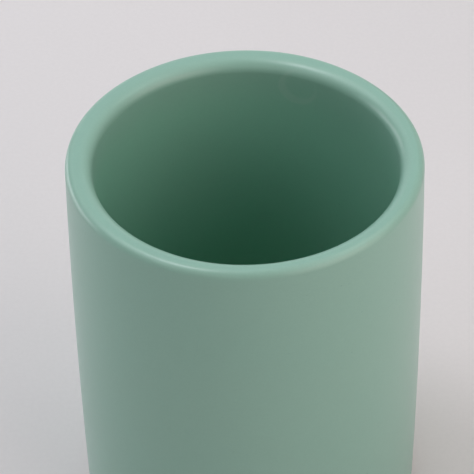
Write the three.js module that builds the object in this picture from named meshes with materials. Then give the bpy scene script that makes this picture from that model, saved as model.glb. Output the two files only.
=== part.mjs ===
// Desk brush pot: a slip-cast stoneware cylinder with a thick wall and a soft, rounded rim.
// It stands on four silicone pads, stuck inside the recess of its foot.
// Millimetres, +Z up. The origin is on the desk, below the centre of the pot; -Y is the front.

import * as THREE from "three";

// Driving dimensions of the pot.
const OUTER_DIAMETER = 80;
const HEIGHT = 100;
const WALL = 5.7;
const FLOOR_THICKNESS = 6;
const RIM_OUTER_ROUND = 1.8;
const RIM_INNER_ROUND = 3;
const INNER_FLOOR_ROUND = 5;

// The foot: a flat ring round a shallow recess, which holds the pads.
const FOOT_CLEARANCE = 0.8;
const FOOT_OUTER_ROUND = 2.4;
const FOOT_RING_WIDTH = 5;
const FOOT_INNER_ROUND = 0.8;
const RECESS_DEPTH = 1.5;

// The pads: low round buttons, each with a flat face that rests on the desk.
const PAD_DIAMETER = 10;
const PAD_EDGE_ROUND = 1.4;
const PAD_OFFSET = 17;
const ADHESIVE_FILM = 0.1;

// How finely round shapes are cut into flats. Each arc of an outline gets twice ARC_DIVISIONS.
const POT_SIDES = 72;
const PAD_SIDES = 24;
const ARC_DIVISIONS = 3;

const QUARTER_TURN = Math.PI / 2;

const potRadius = OUTER_DIAMETER / 2;
const boreRadius = potRadius - WALL;
const recessCeiling = FOOT_CLEARANCE + RECESS_DEPTH;
const innerFloor = recessCeiling + FLOOR_THICKNESS;

const glaze = new THREE.MeshStandardMaterial({
  name: "mint_glaze",
  color: 0x9fc9bc,
  roughness: 0.5,
  metalness: 0,
});
const silicone = new THREE.MeshStandardMaterial({
  name: "silicone",
  color: 0xd9dcd8,
  roughness: 0.6,
  metalness: 0,
});

// A solid of revolution about +Z. Its outline is radius against height, and it starts on the
// axis below, runs up the outside and ends on the axis above.
function turned(outline, sides) {
  return new THREE.LatheGeometry(outline.getPoints(ARC_DIVISIONS), sides).rotateX(QUARTER_TURN);
}

// The pot: from the middle of its underside, out over the foot, up the wall, over the rim,
// down the bore and back to the axis along the inner floor.
function potBody() {
  const footOuterCentre = potRadius - FOOT_OUTER_ROUND;
  const footInnerCentre = footOuterCentre - FOOT_RING_WIDTH;
  const outline = new THREE.Path();
  outline.moveTo(0, recessCeiling);
  outline.lineTo(footInnerCentre - FOOT_INNER_ROUND, recessCeiling);
  outline.absarc(
    footInnerCentre,
    FOOT_CLEARANCE + FOOT_INNER_ROUND,
    FOOT_INNER_ROUND,
    -2 * QUARTER_TURN,
    -QUARTER_TURN,
  );
  outline.absarc(
    footOuterCentre,
    FOOT_CLEARANCE + FOOT_OUTER_ROUND,
    FOOT_OUTER_ROUND,
    -QUARTER_TURN,
    0,
  );
  outline.absarc(
    potRadius - RIM_OUTER_ROUND,
    HEIGHT - RIM_OUTER_ROUND,
    RIM_OUTER_ROUND,
    0,
    QUARTER_TURN,
  );
  outline.absarc(
    boreRadius + RIM_INNER_ROUND,
    HEIGHT - RIM_INNER_ROUND,
    RIM_INNER_ROUND,
    QUARTER_TURN,
    2 * QUARTER_TURN,
  );
  outline.absarc(
    boreRadius - INNER_FLOOR_ROUND,
    innerFloor + INNER_FLOOR_ROUND,
    INNER_FLOOR_ROUND,
    0,
    -QUARTER_TURN,
    true,
  );
  outline.lineTo(0, innerFloor);

  const mesh = new THREE.Mesh(turned(outline, POT_SIDES), glaze);
  mesh.name = "pot_body";
  return mesh;
}

// One pad, from its resting face round its lower edge and up to the face that is stuck on.
function footPad(name, x, y) {
  const padRadius = PAD_DIAMETER / 2;
  const padHeight = recessCeiling - ADHESIVE_FILM;
  const restingRadius = padRadius - PAD_EDGE_ROUND;
  const outline = new THREE.Path();
  outline.moveTo(0, 0);
  outline.lineTo(restingRadius, 0);
  outline.absarc(restingRadius, PAD_EDGE_ROUND, PAD_EDGE_ROUND, -QUARTER_TURN, 0);
  outline.lineTo(padRadius, padHeight);
  outline.lineTo(0, padHeight);

  const mesh = new THREE.Mesh(turned(outline, PAD_SIDES), silicone);
  mesh.name = name;
  mesh.position.set(x, y, 0);
  return mesh;
}

const brushPot = new THREE.Group();
brushPot.name = "brush_pot";
brushPot.add(potBody());
for (const [row, y] of [["front", -PAD_OFFSET], ["back", PAD_OFFSET]]) {
  for (const [side, x] of [["left", -PAD_OFFSET], ["right", PAD_OFFSET]]) {
    brushPot.add(footPad(`foot_pad_${row}_${side}`, x, y));
  }
}

export default brushPot;
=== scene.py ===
"""A desk brush pot: a thick-walled stoneware cylinder in a satin matte, mint-green glaze.

The pot stands on four silicone pads, on a pale studio sweep. Lengths are in metres, +Z is up
and the camera looks along +Y, down into the pot.
"""

import math

import bmesh
import bpy
from mathutils import Matrix, Vector, noise


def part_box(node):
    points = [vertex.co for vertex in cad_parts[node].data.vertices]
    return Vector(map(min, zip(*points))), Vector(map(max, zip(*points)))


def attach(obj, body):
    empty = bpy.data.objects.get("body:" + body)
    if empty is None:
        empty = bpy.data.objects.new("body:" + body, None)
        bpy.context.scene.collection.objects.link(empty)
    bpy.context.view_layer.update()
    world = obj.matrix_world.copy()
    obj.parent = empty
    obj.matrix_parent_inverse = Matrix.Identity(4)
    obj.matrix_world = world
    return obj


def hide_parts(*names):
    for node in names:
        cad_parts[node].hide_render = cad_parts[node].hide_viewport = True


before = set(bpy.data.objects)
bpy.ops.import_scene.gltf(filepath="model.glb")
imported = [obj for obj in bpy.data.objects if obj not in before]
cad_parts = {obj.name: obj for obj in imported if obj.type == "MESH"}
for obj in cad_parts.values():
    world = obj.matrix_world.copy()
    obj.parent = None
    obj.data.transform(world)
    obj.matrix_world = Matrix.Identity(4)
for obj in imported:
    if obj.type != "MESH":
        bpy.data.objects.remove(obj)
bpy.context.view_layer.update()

MM = 0.001

# The pot's own sizes, the same as the CAD's where the CAD has them.
FOOT, RIM = (corner.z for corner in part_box("pot_body"))
POT_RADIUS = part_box("pot_body")[1].x
WALL = 5.7 * MM
RIM_OUTER_ROUND = 1.8 * MM
RIM_INNER_ROUND = 3 * MM
FLOOR_ROUND = 5 * MM
FLOOR_THICKNESS = 6 * MM
FOOT_OUTER_ROUND = 2.4 * MM
FOOT_RING_WIDTH = 5 * MM
FOOT_INNER_ROUND = 0.8 * MM
RECESS_DEPTH = 1.5 * MM
BORE_RADIUS = POT_RADIUS - WALL
RECESS_CEILING = FOOT + RECESS_DEPTH
INNER_FLOOR = RECESS_CEILING + FLOOR_THICKNESS

# The glaze stops on the foot's outer round, in a wavy line with a soft bead along it. The line's
# angle is measured as an arc's, so 270 is the very bottom and 360 is where the wall starts. It
# swings by up to about GLAZE_LINE_WAVE degrees, in slow waves with quicker ones on them.
GLAZE_THICKNESS = 0.25 * MM
GLAZE_LINE = 318
GLAZE_LINE_WAVE = 7
GLAZE_LINE_SLOW = 2.6
GLAZE_LINE_QUICK = 9

# The bead's section: degrees past the glaze line, and how proud it is, in glaze thicknesses.
GLAZE_BEAD = [(3, -0.55), (6, -0.1), (9, 0.2), (13, 0.3), (18, 0.22), (24, 0.08)]

# What the kiln did to it: a bore a little off centre, a rim a little off level and a wall that
# swells a little and is a little off round. The ripples' fineness is in waves to a metre, about.
BORE_DRIFT = (0.35 * MM, -0.5 * MM)
RIM_TILT = -0.25 * MM
WALL_BELLY = 0.5 * MM
WALL_OVAL = 0.08 * MM
WALL_RIPPLE = 0.05 * MM
RIPPLES_ROUND = 55
RIPPLES_UP = 30

# The pads' own sizes.
PAD_RADIUS = 5 * MM
PAD_EDGE_ROUND = 1.4 * MM
PAD_TAPER = 0.12 * MM
PAD_DIMPLE = 0.15 * MM
PAD_SKIRT = 0.18 * MM
PAD_SWELL = 0.004
FILM_RADIUS = 4.6 * MM
FILM_GAP = 0.02 * MM

POT_SIDES = 320
PAD_SIDES = 96


# ---------------------------------------------------------------- outlines


def line(start, end, steps):
    """Points from start up to, but not including, end."""
    return [tuple(a + (b - a) * i / steps for a, b in zip(start, end)) for i in range(steps)]


def arc(centre, radius, start, end, steps):
    """Points (radius, height) on an arc, both ends included. 0 degrees is outward and 90 is up."""
    angles = [math.radians(start + (end - start) * i / steps) for i in range(steps + 1)]
    return [(centre[0] + radius * math.cos(a), centre[1] + radius * math.sin(a)) for a in angles]


def pot_outline():
    """The pot's half section, as stretches of (radius, height) points in order.

    It runs from the middle of the underside, out over the foot, up the wall, over the rim, down
    the bore and back to the middle of the inner floor.
    """
    foot_centre = (POT_RADIUS - FOOT_OUTER_ROUND, FOOT + FOOT_OUTER_ROUND)
    foot_inner = foot_centre[0] - FOOT_RING_WIDTH
    recess_edge = arc((foot_inner, FOOT + FOOT_INNER_ROUND), FOOT_INNER_ROUND, 180, 270, 8)
    bare_edge = [
        arc(foot_centre, FOOT_OUTER_ROUND - GLAZE_THICKNESS * i / 8, angle, angle, 1)[0]
        for i, angle in enumerate(270 + (GLAZE_LINE - 270) * i / 8 for i in range(9))
    ]
    glaze_bead = [
        arc(foot_centre, FOOT_OUTER_ROUND + GLAZE_THICKNESS * rise, GLAZE_LINE + turn, 0, 1)[0]
        for turn, rise in GLAZE_BEAD
    ]
    glazed_edge = arc(foot_centre, FOOT_OUTER_ROUND, GLAZE_LINE + 30, 360, 3)
    outer_centre = (POT_RADIUS - RIM_OUTER_ROUND, RIM - RIM_OUTER_ROUND)
    inner_centre = (BORE_RADIUS + RIM_INNER_ROUND, RIM - RIM_INNER_ROUND)
    corner_centre = (BORE_RADIUS - FLOOR_ROUND, INNER_FLOOR + FLOOR_ROUND)
    rim_outside = arc(outer_centre, RIM_OUTER_ROUND, 0, 90, 16)
    rim_inside = arc(inner_centre, RIM_INNER_ROUND, 90, 180, 16)
    corner = arc(corner_centre, FLOOR_ROUND, 0, -90, 14)
    return {
        "recess": line((0, RECESS_CEILING), recess_edge[0], 16),
        "recess_edge": recess_edge,
        "foot_ring": line(recess_edge[-1], bare_edge[0], 6)[1:],
        "bare_edge": bare_edge,
        "glaze_bead": glaze_bead,
        "glazed_edge": glazed_edge,
        "wall": line(glazed_edge[-1], rim_outside[0], 52)[1:],
        "rim_outside": rim_outside,
        "rim_land": line(rim_outside[-1], rim_inside[0], 5)[1:],
        "rim_inside": rim_inside,
        "bore": line(rim_inside[-1], corner[0], 50)[1:],
        "corner": corner,
        "floor": line(corner[-1], (0, INNER_FLOOR), 16)[1:] + [(0, INNER_FLOOR)],
    }


def pad_outline(top):
    """A pad's half section, from the middle of its resting face to the middle of its sticky one."""
    base = PAD_RADIUS - PAD_TAPER
    edge = arc((base - PAD_EDGE_ROUND, PAD_EDGE_ROUND), PAD_EDGE_ROUND, -90, 0, 14)
    dimple = [
        (r, PAD_DIMPLE * smooth_step(1 - r / edge[0][0] / 0.8))
        for r, _ in line((0, 0), edge[0], 14)
    ]
    skirt_foot = top - 3 * PAD_SKIRT
    side = line(edge[-1], (PAD_RADIUS - PAD_SKIRT, skirt_foot), 3)[1:]
    skirt = arc((PAD_RADIUS - PAD_SKIRT, top - 1.5 * PAD_SKIRT), PAD_SKIRT, -80, 90, 8)
    film = [(FILM_RADIUS, skirt[-1][1]), (FILM_RADIUS, top), (FILM_RADIUS * 0.98, top)]
    return dimple + edge + side + skirt + film + line((FILM_RADIUS * 0.9, top), (0, top), 8) + [(0, top)]


# ---------------------------------------------------------------- meshes


def band(mesh, low, high, sides):
    """The smooth faces between two rings, either of which may be a single vertex on the axis."""
    faces = []
    for i in range(sides):
        j = (i + 1) % sides
        corners = [low[i % len(low)], low[j % len(low)], high[j % len(high)], high[i % len(high)]]
        faces.append(mesh.faces.new(list(dict.fromkeys(corners))))
        faces[-1].smooth = True
    return faces


def new_object(name, mesh):
    """An object in the scene, made from a bmesh, which it frees."""
    data = bpy.data.meshes.new(name)
    mesh.to_mesh(data)
    mesh.free()
    made = bpy.data.objects.new(name, data)
    bpy.context.scene.collection.objects.link(made)
    return made


def turned_mesh(name, outline, sides, place, bare=(), shades=None):
    """A closed mesh turned about +Z from an outline that starts and ends on the axis.

    place(index, angle) gives the vertex for that point of the outline, at that angle. Faces
    between two points of bare take the second material, and shades names vertex values, one for
    each point of the outline, for the materials.
    """
    mesh = bmesh.new()
    layers = {shade: mesh.verts.layers.float.new(shade) for shade in shades or {}}
    last = len(outline) - 1
    turns = [2 * math.pi * i / sides for i in range(sides)]
    rings = []
    for i in range(last + 1):
        ring = [mesh.verts.new(place(i, turn)) for turn in ([0] if i in (0, last) else turns)]
        for shade, layer in layers.items():
            for vertex in ring:
                vertex[layer] = shades[shade][i]
        rings.append(ring)
    for index, (low, high) in enumerate(zip(rings, rings[1:])):
        for face in band(mesh, low, high, sides):
            face.material_index = 1 if index in bare and index + 1 in bare else 0
    return new_object(name, mesh)


def smooth_step(value):
    """value held to 0..1, with soft ends."""
    value = min(1.0, max(0.0, value))
    return value * value * (3 - 2 * value)


def glaze_line_wave(radius, height, turn, share):
    """A point of the foot's outer round, swung along it with the waves of the glaze line."""
    wander = noise.noise(Vector((math.cos(turn), math.sin(turn), 0)) * GLAZE_LINE_SLOW)
    wander += 0.5 * noise.noise(Vector((math.cos(turn), math.sin(turn), 3)) * GLAZE_LINE_QUICK)
    centre = Vector((POT_RADIUS - FOOT_OUTER_ROUND, FOOT + FOOT_OUTER_ROUND))
    arm = Vector((radius, height)) - centre
    arm.rotate(Matrix.Rotation(math.radians(GLAZE_LINE_WAVE * wander * share), 2))
    return centre + arm


def kiln_drift(radius, height, turn, inside):
    """A point of the pot's surface, after the small wanderings of the clay and the glaze."""
    out = Vector((math.cos(turn), math.sin(turn), 0))
    level = (height - FOOT) / (RIM - FOOT)
    swell = WALL_BELLY * math.sin(math.pi * min(1.0, level)) * (1 - inside)
    oval = WALL_OVAL * math.cos(2 * turn - 0.8) + 0.5 * WALL_OVAL * math.cos(3 * turn + 1.1)
    where = out * radius * RIPPLES_ROUND + Vector((0, 0, height * RIPPLES_UP + 7 * inside))
    ripple = WALL_RIPPLE * noise.noise(where)
    reach = smooth_step(radius / POT_RADIUS * 1.5)
    point = out * (radius + (swell + oval + ripple) * reach)
    point.x += BORE_DRIFT[0] * inside * smooth_step(level)
    point.y += BORE_DRIFT[1] * inside * smooth_step(level)
    point.z = height + RIM_TILT * smooth_step(level) * point.x / POT_RADIUS
    return point


def inside_share(radius, height):
    """0 on the outside of the pot, 1 in its bore, and in between across the top of the rim."""
    if height < INNER_FLOOR - 0.5 * MM:
        return 0.0
    return 1 - smooth_step((radius - BORE_RADIUS) / WALL * 1.6 - 0.3)


def make_pot():
    """The pot's mesh, with the vertex values "depth", down the bore, and "edge", on the rim's rounds."""
    stretches = [
        (stretch, step / len(points), point)
        for stretch, points in pot_outline().items()
        for step, point in enumerate(points)
    ]
    outline = [point for _, _, point in stretches]
    inside = [inside_share(*point) for point in outline]
    line_share = [
        {"bare_edge": share, "glaze_bead": 1, "glazed_edge": 1 - share}.get(stretch, 0)
        for stretch, share, _ in stretches
    ]
    bare = {
        i for i, (stretch, share, _) in enumerate(stretches)
        if stretch in ("foot_ring", "bare_edge") or (stretch == "recess_edge" and share > 0.5)
    }
    shades = {
        "depth": [
            share_in * (RIM - point[1]) / (RIM - INNER_FLOOR) for share_in, point in zip(inside, outline)
        ],
        "edge": [
            math.sin(math.pi * share) if stretch in ("rim_outside", "rim_inside") else 0.0
            for stretch, share, _ in stretches
        ],
    }

    def place(index, turn):
        radius, height = outline[index]
        if line_share[index]:
            radius, height = glaze_line_wave(radius, height, turn, line_share[index])
        return kiln_drift(radius, height, turn, inside[index])

    return turned_mesh("pot", outline, POT_SIDES, place, bare, shades)


def make_pad(node_name):
    """A pad in place of that CAD node, each swollen out of round in its own direction."""
    low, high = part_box(node_name)
    middle = (low + high) / 2
    outline = pad_outline(RECESS_CEILING - FILM_GAP)
    phase = 9 * noise.noise(middle * 300)

    def place(index, turn):
        radius, height = outline[index]
        swell = 1 + PAD_SWELL * math.cos(2 * turn + phase)
        return Vector((
            middle.x + radius * swell * math.cos(turn),
            middle.y + radius * swell * math.sin(turn),
            height,
        ))

    pad = turned_mesh(node_name.replace("foot_pad", "pad"), outline, PAD_SIDES, place)
    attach(pad, "root")
    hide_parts(node_name)
    return pad


# ---------------------------------------------------------------- materials


def opaque(colour):
    """colour with an alpha of 1, or colour itself where it is a node's output."""
    return colour if isinstance(colour, bpy.types.NodeSocket) else (*colour, 1)


class Surface:
    """A new material, with short ways to add the nodes that feed its Principled BSDF."""

    def __init__(self, name, specular):
        self.material = bpy.data.materials.new(name)
        self.material.use_nodes = True
        self.tree = self.material.node_tree
        self.shader = self.tree.nodes["Principled BSDF"]
        self.shader.inputs["Specular IOR Level"].default_value = specular
        self.place = self.node("ShaderNodeTexCoord").outputs["Object"]

    def node(self, kind, sockets=None, **settings):
        """A node with those settings. sockets maps its inputs to a value or another node's output."""
        made = self.tree.nodes.new(kind)
        for setting, value in settings.items():
            setattr(made, setting, value)
        for socket, value in (sockets or {}).items():
            if isinstance(value, bpy.types.NodeSocket):
                self.tree.links.new(value, made.inputs[socket])
            else:
                made.inputs[socket].default_value = value
        return made

    def clouds(self, size, detail=3):
        """Soft noise, about 0.5 on average, in patches about size across."""
        noise_node = self.node(
            "ShaderNodeTexNoise",
            {"Vector": self.place, "Scale": 1 / size, "Detail": detail, "Roughness": 0.55},
        )
        return noise_node.outputs["Fac"]

    def distance(self, point):
        apart = self.node("ShaderNodeVectorMath", {0: self.place, 1: point}, operation="DISTANCE")
        return apart.outputs["Value"]

    def shade(self, name):
        """The vertex values that the mesh holds under that name."""
        return self.node("ShaderNodeAttribute", attribute_name=name).outputs["Fac"]

    def spread(self, value, start, end, low=0.0, high=1.0):
        """value taken from start..end to low..high, with soft ends, and held there outside."""
        mapped = self.node(
            "ShaderNodeMapRange",
            {"Value": value, "From Min": start, "From Max": end, "To Min": low, "To Max": high},
            interpolation_type="SMOOTHSTEP",
        )
        return mapped.outputs["Result"]

    def mix(self, share, first, second, blend="MIX"):
        """Colours first and second, mixed or blended by share."""
        sockets = {0: share, 6: opaque(first), 7: opaque(second)}
        mixed = self.node("ShaderNodeMix", sockets, data_type="RGBA", blend_type=blend)
        return mixed.outputs[2]

    def sum(self, *values):
        total = values[0]
        for value in values[1:]:
            total = self.node("ShaderNodeMath", {0: total, 1: value}, operation="ADD").outputs[0]
        return total

    def product(self, first, second):
        return self.node("ShaderNodeMath", {0: first, 1: second}, operation="MULTIPLY").outputs[0]

    def finish(self, colour, roughness, height, relief):
        """Feeds the shader. height is 0 to 1 and relief is how far that is, in metres."""
        bump = self.node("ShaderNodeBump", {"Height": height, "Distance": relief, "Strength": 1.0})
        self.tree.links.new(colour, self.shader.inputs["Base Color"])
        self.tree.links.new(roughness, self.shader.inputs["Roughness"])
        self.tree.links.new(bump.outputs["Normal"], self.shader.inputs["Normal"])
        return self.material


# The glaze's colours: on the walls, near the top of the bore and at the bottom of the bore, where it
# thins on the rim's rounds, in its clouds and in its specks. The two bore colours are painted light
# and shade: a tinted copy of the walls' colour near the top of the bore, a darker one at its bottom.
MINT = (0.248, 0.444, 0.360)
MINT_BORE_PAINTED_LIGHT = (0.235, 0.475, 0.365)
MINT_DEEP_PAINTED_SHADE = (0.145, 0.375, 0.250)
MINT_THIN = (0.30, 0.475, 0.385)
MINT_CLOUD = (0.27, 0.45, 0.36)
SPECK = (0.12, 0.24, 0.18)
GLAZE_ROUGHNESS = 0.30
GLAZE_SPECULAR = 0.63
GLAZE_RELIEF = 0.025 * MM

# A faint pale crescent at the back of the bore, just under the rim: a painted highlight on the lit
# lower-left side of a small ring in the glaze, which has no relief of its own here. It is what a ball
# round RING_MARK covers and one round RING_MARK_INNER doesn't. The turn is from the back towards the
# right.
RING_MARK_TURN = math.radians(22)
RING_MARK_RADIUS = 5.2 * MM
RING_MARK = Vector((
    math.sin(RING_MARK_TURN) * BORE_RADIUS,
    math.cos(RING_MARK_TURN) * BORE_RADIUS,
    94.2 * MM,
))
RING_MARK_INNER = RING_MARK + Vector((0.8, 0, 1.0)) * MM
RING_MARK_PAINTED_HIGHLIGHT = (0.4, 0.55, 0.48)

# The bare clay's colours: its two clouded tones, its grit and its iron specks.
CLAY_DARK = (0.50, 0.42, 0.33)
CLAY_PALE = (0.58, 0.51, 0.42)
CLAY_GRIT = (0.44, 0.36, 0.28)
CLAY_IRON = (0.16, 0.11, 0.08)
CLAY_RELIEF = 0.12 * MM

SILICONE = (0.66, 0.69, 0.66)
SILICONE_DUST = (0.52, 0.52, 0.49)
SILICONE_RELIEF = 0.01 * MM

# The paper reflects less and glows more from the first distance to the second.
PAPER = (0.726, 0.684, 0.683)
PAPER_FAR = (0.1, 0.1, 0.1)
PAPER_GLOW = (0.60, 0.60, 0.61)
PAPER_GLOW_START = 0.27
PAPER_GLOW_END = 0.55
PAPER_RELIEF = 0.01 * MM


def glaze_material():
    """Satin matte celadon: thinner on the edges and faintly clouded. Down the bore it has painted shade,
    and at the back a painted highlight on a ring mark.
    """
    glaze = Surface("mint glaze", GLAZE_SPECULAR)
    depth = glaze.shade("depth")
    clouds = glaze.clouds(30 * MM)
    mottle = glaze.clouds(3.5 * MM, 4)
    grain = glaze.clouds(0.5 * MM, 2)
    specks = glaze.node("ShaderNodeTexVoronoi", {"Vector": glaze.place, "Scale": 1 / (2.6 * MM)})
    speck = glaze.spread(specks.outputs["Distance"], 0.05, 0.12, 1.0, 0.0)
    rare = glaze.spread(glaze.clouds(6 * MM, 1), 0.58, 0.7)
    within = glaze.distance(RING_MARK)
    beyond = glaze.distance(RING_MARK_INNER)
    # The crescent where the ring mark's painted highlight is laid on.
    ring_mark_highlight = glaze.product(
        glaze.spread(within, RING_MARK_RADIUS - 0.9 * MM, RING_MARK_RADIUS, 1.0, 0.0),
        glaze.spread(beyond, RING_MARK_RADIUS - 2.0 * MM, RING_MARK_RADIUS - 0.7 * MM),
    )
    speck = glaze.product(speck, rare)

    # Painted light and shade of the bore: a tinted copy of the glaze near its top, darker towards its
    # bottom.
    colour = glaze.mix(glaze.spread(depth, 0.0, 0.15), MINT, MINT_BORE_PAINTED_LIGHT)
    colour = glaze.mix(glaze.spread(depth, 0.1, 1.0), colour, MINT_DEEP_PAINTED_SHADE)
    colour = glaze.mix(glaze.product(glaze.shade("edge"), 0.35), colour, MINT_THIN)
    colour = glaze.mix(glaze.spread(clouds, 0.35, 0.7, 0.0, 0.15), colour, MINT_CLOUD)
    tone = glaze.sum(
        glaze.spread(mottle, 0.3, 0.7, 0.99, 1.0),
        glaze.spread(grain, 0.3, 0.7, -0.01, 0.015),
    )
    colour = glaze.mix(1.0, colour, tone, "MULTIPLY")
    colour = glaze.mix(glaze.product(speck, 0.25), colour, SPECK)
    # Painted highlight: the ring mark's pale crescent.
    colour = glaze.mix(glaze.product(ring_mark_highlight, 0.26), colour, RING_MARK_PAINTED_HIGHLIGHT)

    roughness = glaze.sum(
        glaze.spread(mottle, 0.3, 0.7, GLAZE_ROUGHNESS - 0.01, GLAZE_ROUGHNESS + 0.01),
        glaze.spread(clouds, 0.35, 0.7, -0.015, 0.015),
    )
    height = glaze.sum(
        glaze.product(glaze.clouds(6 * MM, 1), 0.7),
        glaze.product(mottle, 0.1),
        glaze.product(grain, 0.03),
        glaze.product(speck, -0.05),
    )
    return glaze.finish(colour, roughness, height, GLAZE_RELIEF)


def clay_material():
    """Bare fired stoneware: buff, gritty, with dark iron specks."""
    clay = Surface("bare stoneware", 0.3)
    grit = clay.clouds(0.6 * MM, 4)
    iron = clay.node("ShaderNodeTexVoronoi", {"Vector": clay.place, "Scale": 1 / (1.1 * MM)})
    speck = clay.spread(iron.outputs["Distance"], 0.12, 0.26, 0.75, 0.0)
    colour = clay.mix(clay.spread(clay.clouds(7 * MM), 0.35, 0.65), CLAY_DARK, CLAY_PALE)
    colour = clay.mix(clay.spread(grit, 0.35, 0.65, 0.0, 0.35), colour, CLAY_GRIT)
    colour = clay.mix(speck, colour, CLAY_IRON)
    roughness = clay.spread(grit, 0.3, 0.7, 0.78, 0.9)
    return clay.finish(colour, roughness, clay.sum(grit, clay.product(speck, -0.4)), CLAY_RELIEF)


def silicone_material():
    """Frosted silicone with a little dust on it."""
    silicone = Surface("frosted silicone", 0.5)
    silicone.shader.inputs["Subsurface Weight"].default_value = 0.35
    silicone.shader.inputs["Subsurface Scale"].default_value = 1.5 * MM
    frost = silicone.clouds(0.4 * MM, 3)
    dust = silicone.spread(silicone.clouds(1.8 * MM, 4), 0.52, 0.7)
    colour = silicone.mix(silicone.product(dust, 0.4), SILICONE, SILICONE_DUST)
    roughness = silicone.sum(silicone.spread(frost, 0.3, 0.7, 0.42, 0.54), silicone.product(dust, 0.2))
    return silicone.finish(colour, roughness, frost, SILICONE_RELIEF)


def paper_material():
    """Matte studio paper. Away from the pot it glows, so that the backdrop stays pale all round."""
    paper = Surface("studio paper", 0.3)
    tooth = paper.clouds(1.2 * MM, 3)
    far = paper.spread(paper.distance((0, 0, 0)), PAPER_GLOW_START, PAPER_GLOW_END)
    near_colour = paper.mix(1.0, PAPER, paper.spread(tooth, 0.3, 0.7, 0.99, 1.01), "MULTIPLY")
    colour = paper.mix(far, near_colour, PAPER_FAR)
    paper.shader.inputs["Emission Color"].default_value = (*PAPER_GLOW, 1)
    paper.tree.links.new(far, paper.shader.inputs["Emission Strength"])
    return paper.finish(colour, paper.spread(tooth, 0.3, 0.7, 0.88, 0.92), tooth, PAPER_RELIEF)


# ---------------------------------------------------------------- the pieces

pot = make_pot()
pot.data.materials.append(glaze_material())
pot.data.materials.append(clay_material())
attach(pot, "root")
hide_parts("pot_body")

silicone = silicone_material()
for node_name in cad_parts:
    if node_name.startswith("foot_pad"):
        make_pad(node_name).data.materials.append(silicone)


# ---------------------------------------------------------------- the studio


# The paper lies flat out to SWEEP_FLAT from the pot, then curves up with that round.
SWEEP_FLAT = 1.4
SWEEP_ROUND = 1.6
SWEEP_TOP = 2.2
SWEEP_SIDES = 96


def sweep_part(name, outline):
    """An open sheet of paper, turned about +Z from an outline of (radius, height) points."""
    mesh = bmesh.new()
    turns = [2 * math.pi * i / SWEEP_SIDES for i in range(SWEEP_SIDES)]
    rings = [
        [mesh.verts.new((r * math.cos(turn), r * math.sin(turn), z)) for turn in (turns if r else [0])]
        for r, z in outline
    ]
    for low, high in zip(rings, rings[1:]):
        band(mesh, low, high, SWEEP_SIDES)
    part = new_object(name, mesh)
    return part


def make_sweep():
    """A round paper sweep: a flat floor, and a wall that curves up from it all round."""
    paper = paper_material()
    floor = sweep_part("sweep_floor", [(0, 0), (0.1, 0), (0.4, 0), (SWEEP_FLAT, 0)])
    curve = arc((SWEEP_FLAT, SWEEP_ROUND), SWEEP_ROUND, 270, 360, 24)
    wall = sweep_part("sweep_wall", curve + [(curve[-1][0], SWEEP_TOP)])
    for part in (floor, wall):
        part.data.materials.append(paper)
    # Only the camera sees the wall, so the far paper doesn't light the pot.
    wall.visible_diffuse = False
    wall.visible_glossy = False
    wall.visible_shadow = False


# The soft lights, as seen from the pot: azimuth and elevation of the middle, width and height, all
# in degrees, then the distance, the radiance and the tint. Azimuth 0 is the camera's side and 90 is
# the pot's right.
SOFT_LIGHTS = {
    "key": (258, 75, 14, 14, 1.0, 8.0, (0.95, 0.93, 1)),
    "high_left": (264, 60, 60, 36, 1.0, 1.4, (0.88, 0.95, 1)),
    "high_right": (80, 60, 45, 30, 0.5, 1.35, (0.91, 1, 0.96)),
    "high_back": (160, 66, 60, 24, 0.8, 0.93, (0.95, 0.98, 1)),
    "front_right": (55, 23, 57, 40, 0.45, 1.8, (1, 0.84, 0.81)),
    "back_right": (125, 28, 50, 50, 0.6, 0.28, (0.95, 1, 1)),
    "back": (186, 28, 50, 50, 0.45, 0.73, (0.91, 0.97, 1)),
    "low_left": (244, 8, 45, 19, 0.6, 3.15, (0.98, 0.94, 1)),
    "front_left": (330, 28, 55, 20, 1.0, 0.63, (0.97, 1, 0.98)),
}
LIT_POINT = Vector((0, 0, 0.06))
AMBIENT = 0.1


def soft_light(name, azimuth, elevation, width, height, distance, radiance, tint):
    turn, rise = math.radians(azimuth), math.radians(elevation)
    away = Vector((math.sin(turn) * math.cos(rise), -math.cos(turn) * math.cos(rise), math.sin(rise)))
    light = bpy.data.lights.new(name, "AREA")
    light.shape = "RECTANGLE"
    light.size = 2 * distance * math.tan(math.radians(width) / 2)
    light.size_y = 2 * distance * math.tan(math.radians(height) / 2)
    light.energy = radiance * math.pi * light.size * light.size_y
    light.color = tint
    lamp = bpy.data.objects.new(name, light)
    lamp.location = LIT_POINT + away * distance
    lamp.rotation_euler = (-away).to_track_quat("-Z", "Y").to_euler()
    lamp.visible_camera = False
    bpy.context.scene.collection.objects.link(lamp)


make_sweep()
for name, numbers in SOFT_LIGHTS.items():
    soft_light(name, *numbers)

world = bpy.data.worlds.new("world")
world.use_nodes = True
world.node_tree.nodes["Background"].inputs["Color"].default_value = (1, 1, 1, 1)
world.node_tree.nodes["Background"].inputs["Strength"].default_value = AMBIENT
bpy.context.scene.world = world
bpy.context.scene.view_settings.view_transform = "Standard"

# ---------------------------------------------------------------- the camera

CAMERA_PLACE = Vector((0, -0.4254, 0.4484))
CAMERA_AIM = Vector((-0.00208, 0, 0.07584))
CAMERA_ROLL = -1.3
CAMERA_LENS = 187.5

camera_data = bpy.data.cameras.new("camera")
camera_data.lens = CAMERA_LENS
camera_data.sensor_width = 36
camera = bpy.data.objects.new("camera", camera_data)
camera.location = CAMERA_PLACE
look = (CAMERA_AIM - CAMERA_PLACE).to_track_quat("-Z", "Y").to_matrix()
camera.rotation_euler = (look @ Matrix.Rotation(math.radians(CAMERA_ROLL), 3, "Z")).to_euler()
bpy.context.scene.collection.objects.link(camera)
bpy.context.scene.camera = camera
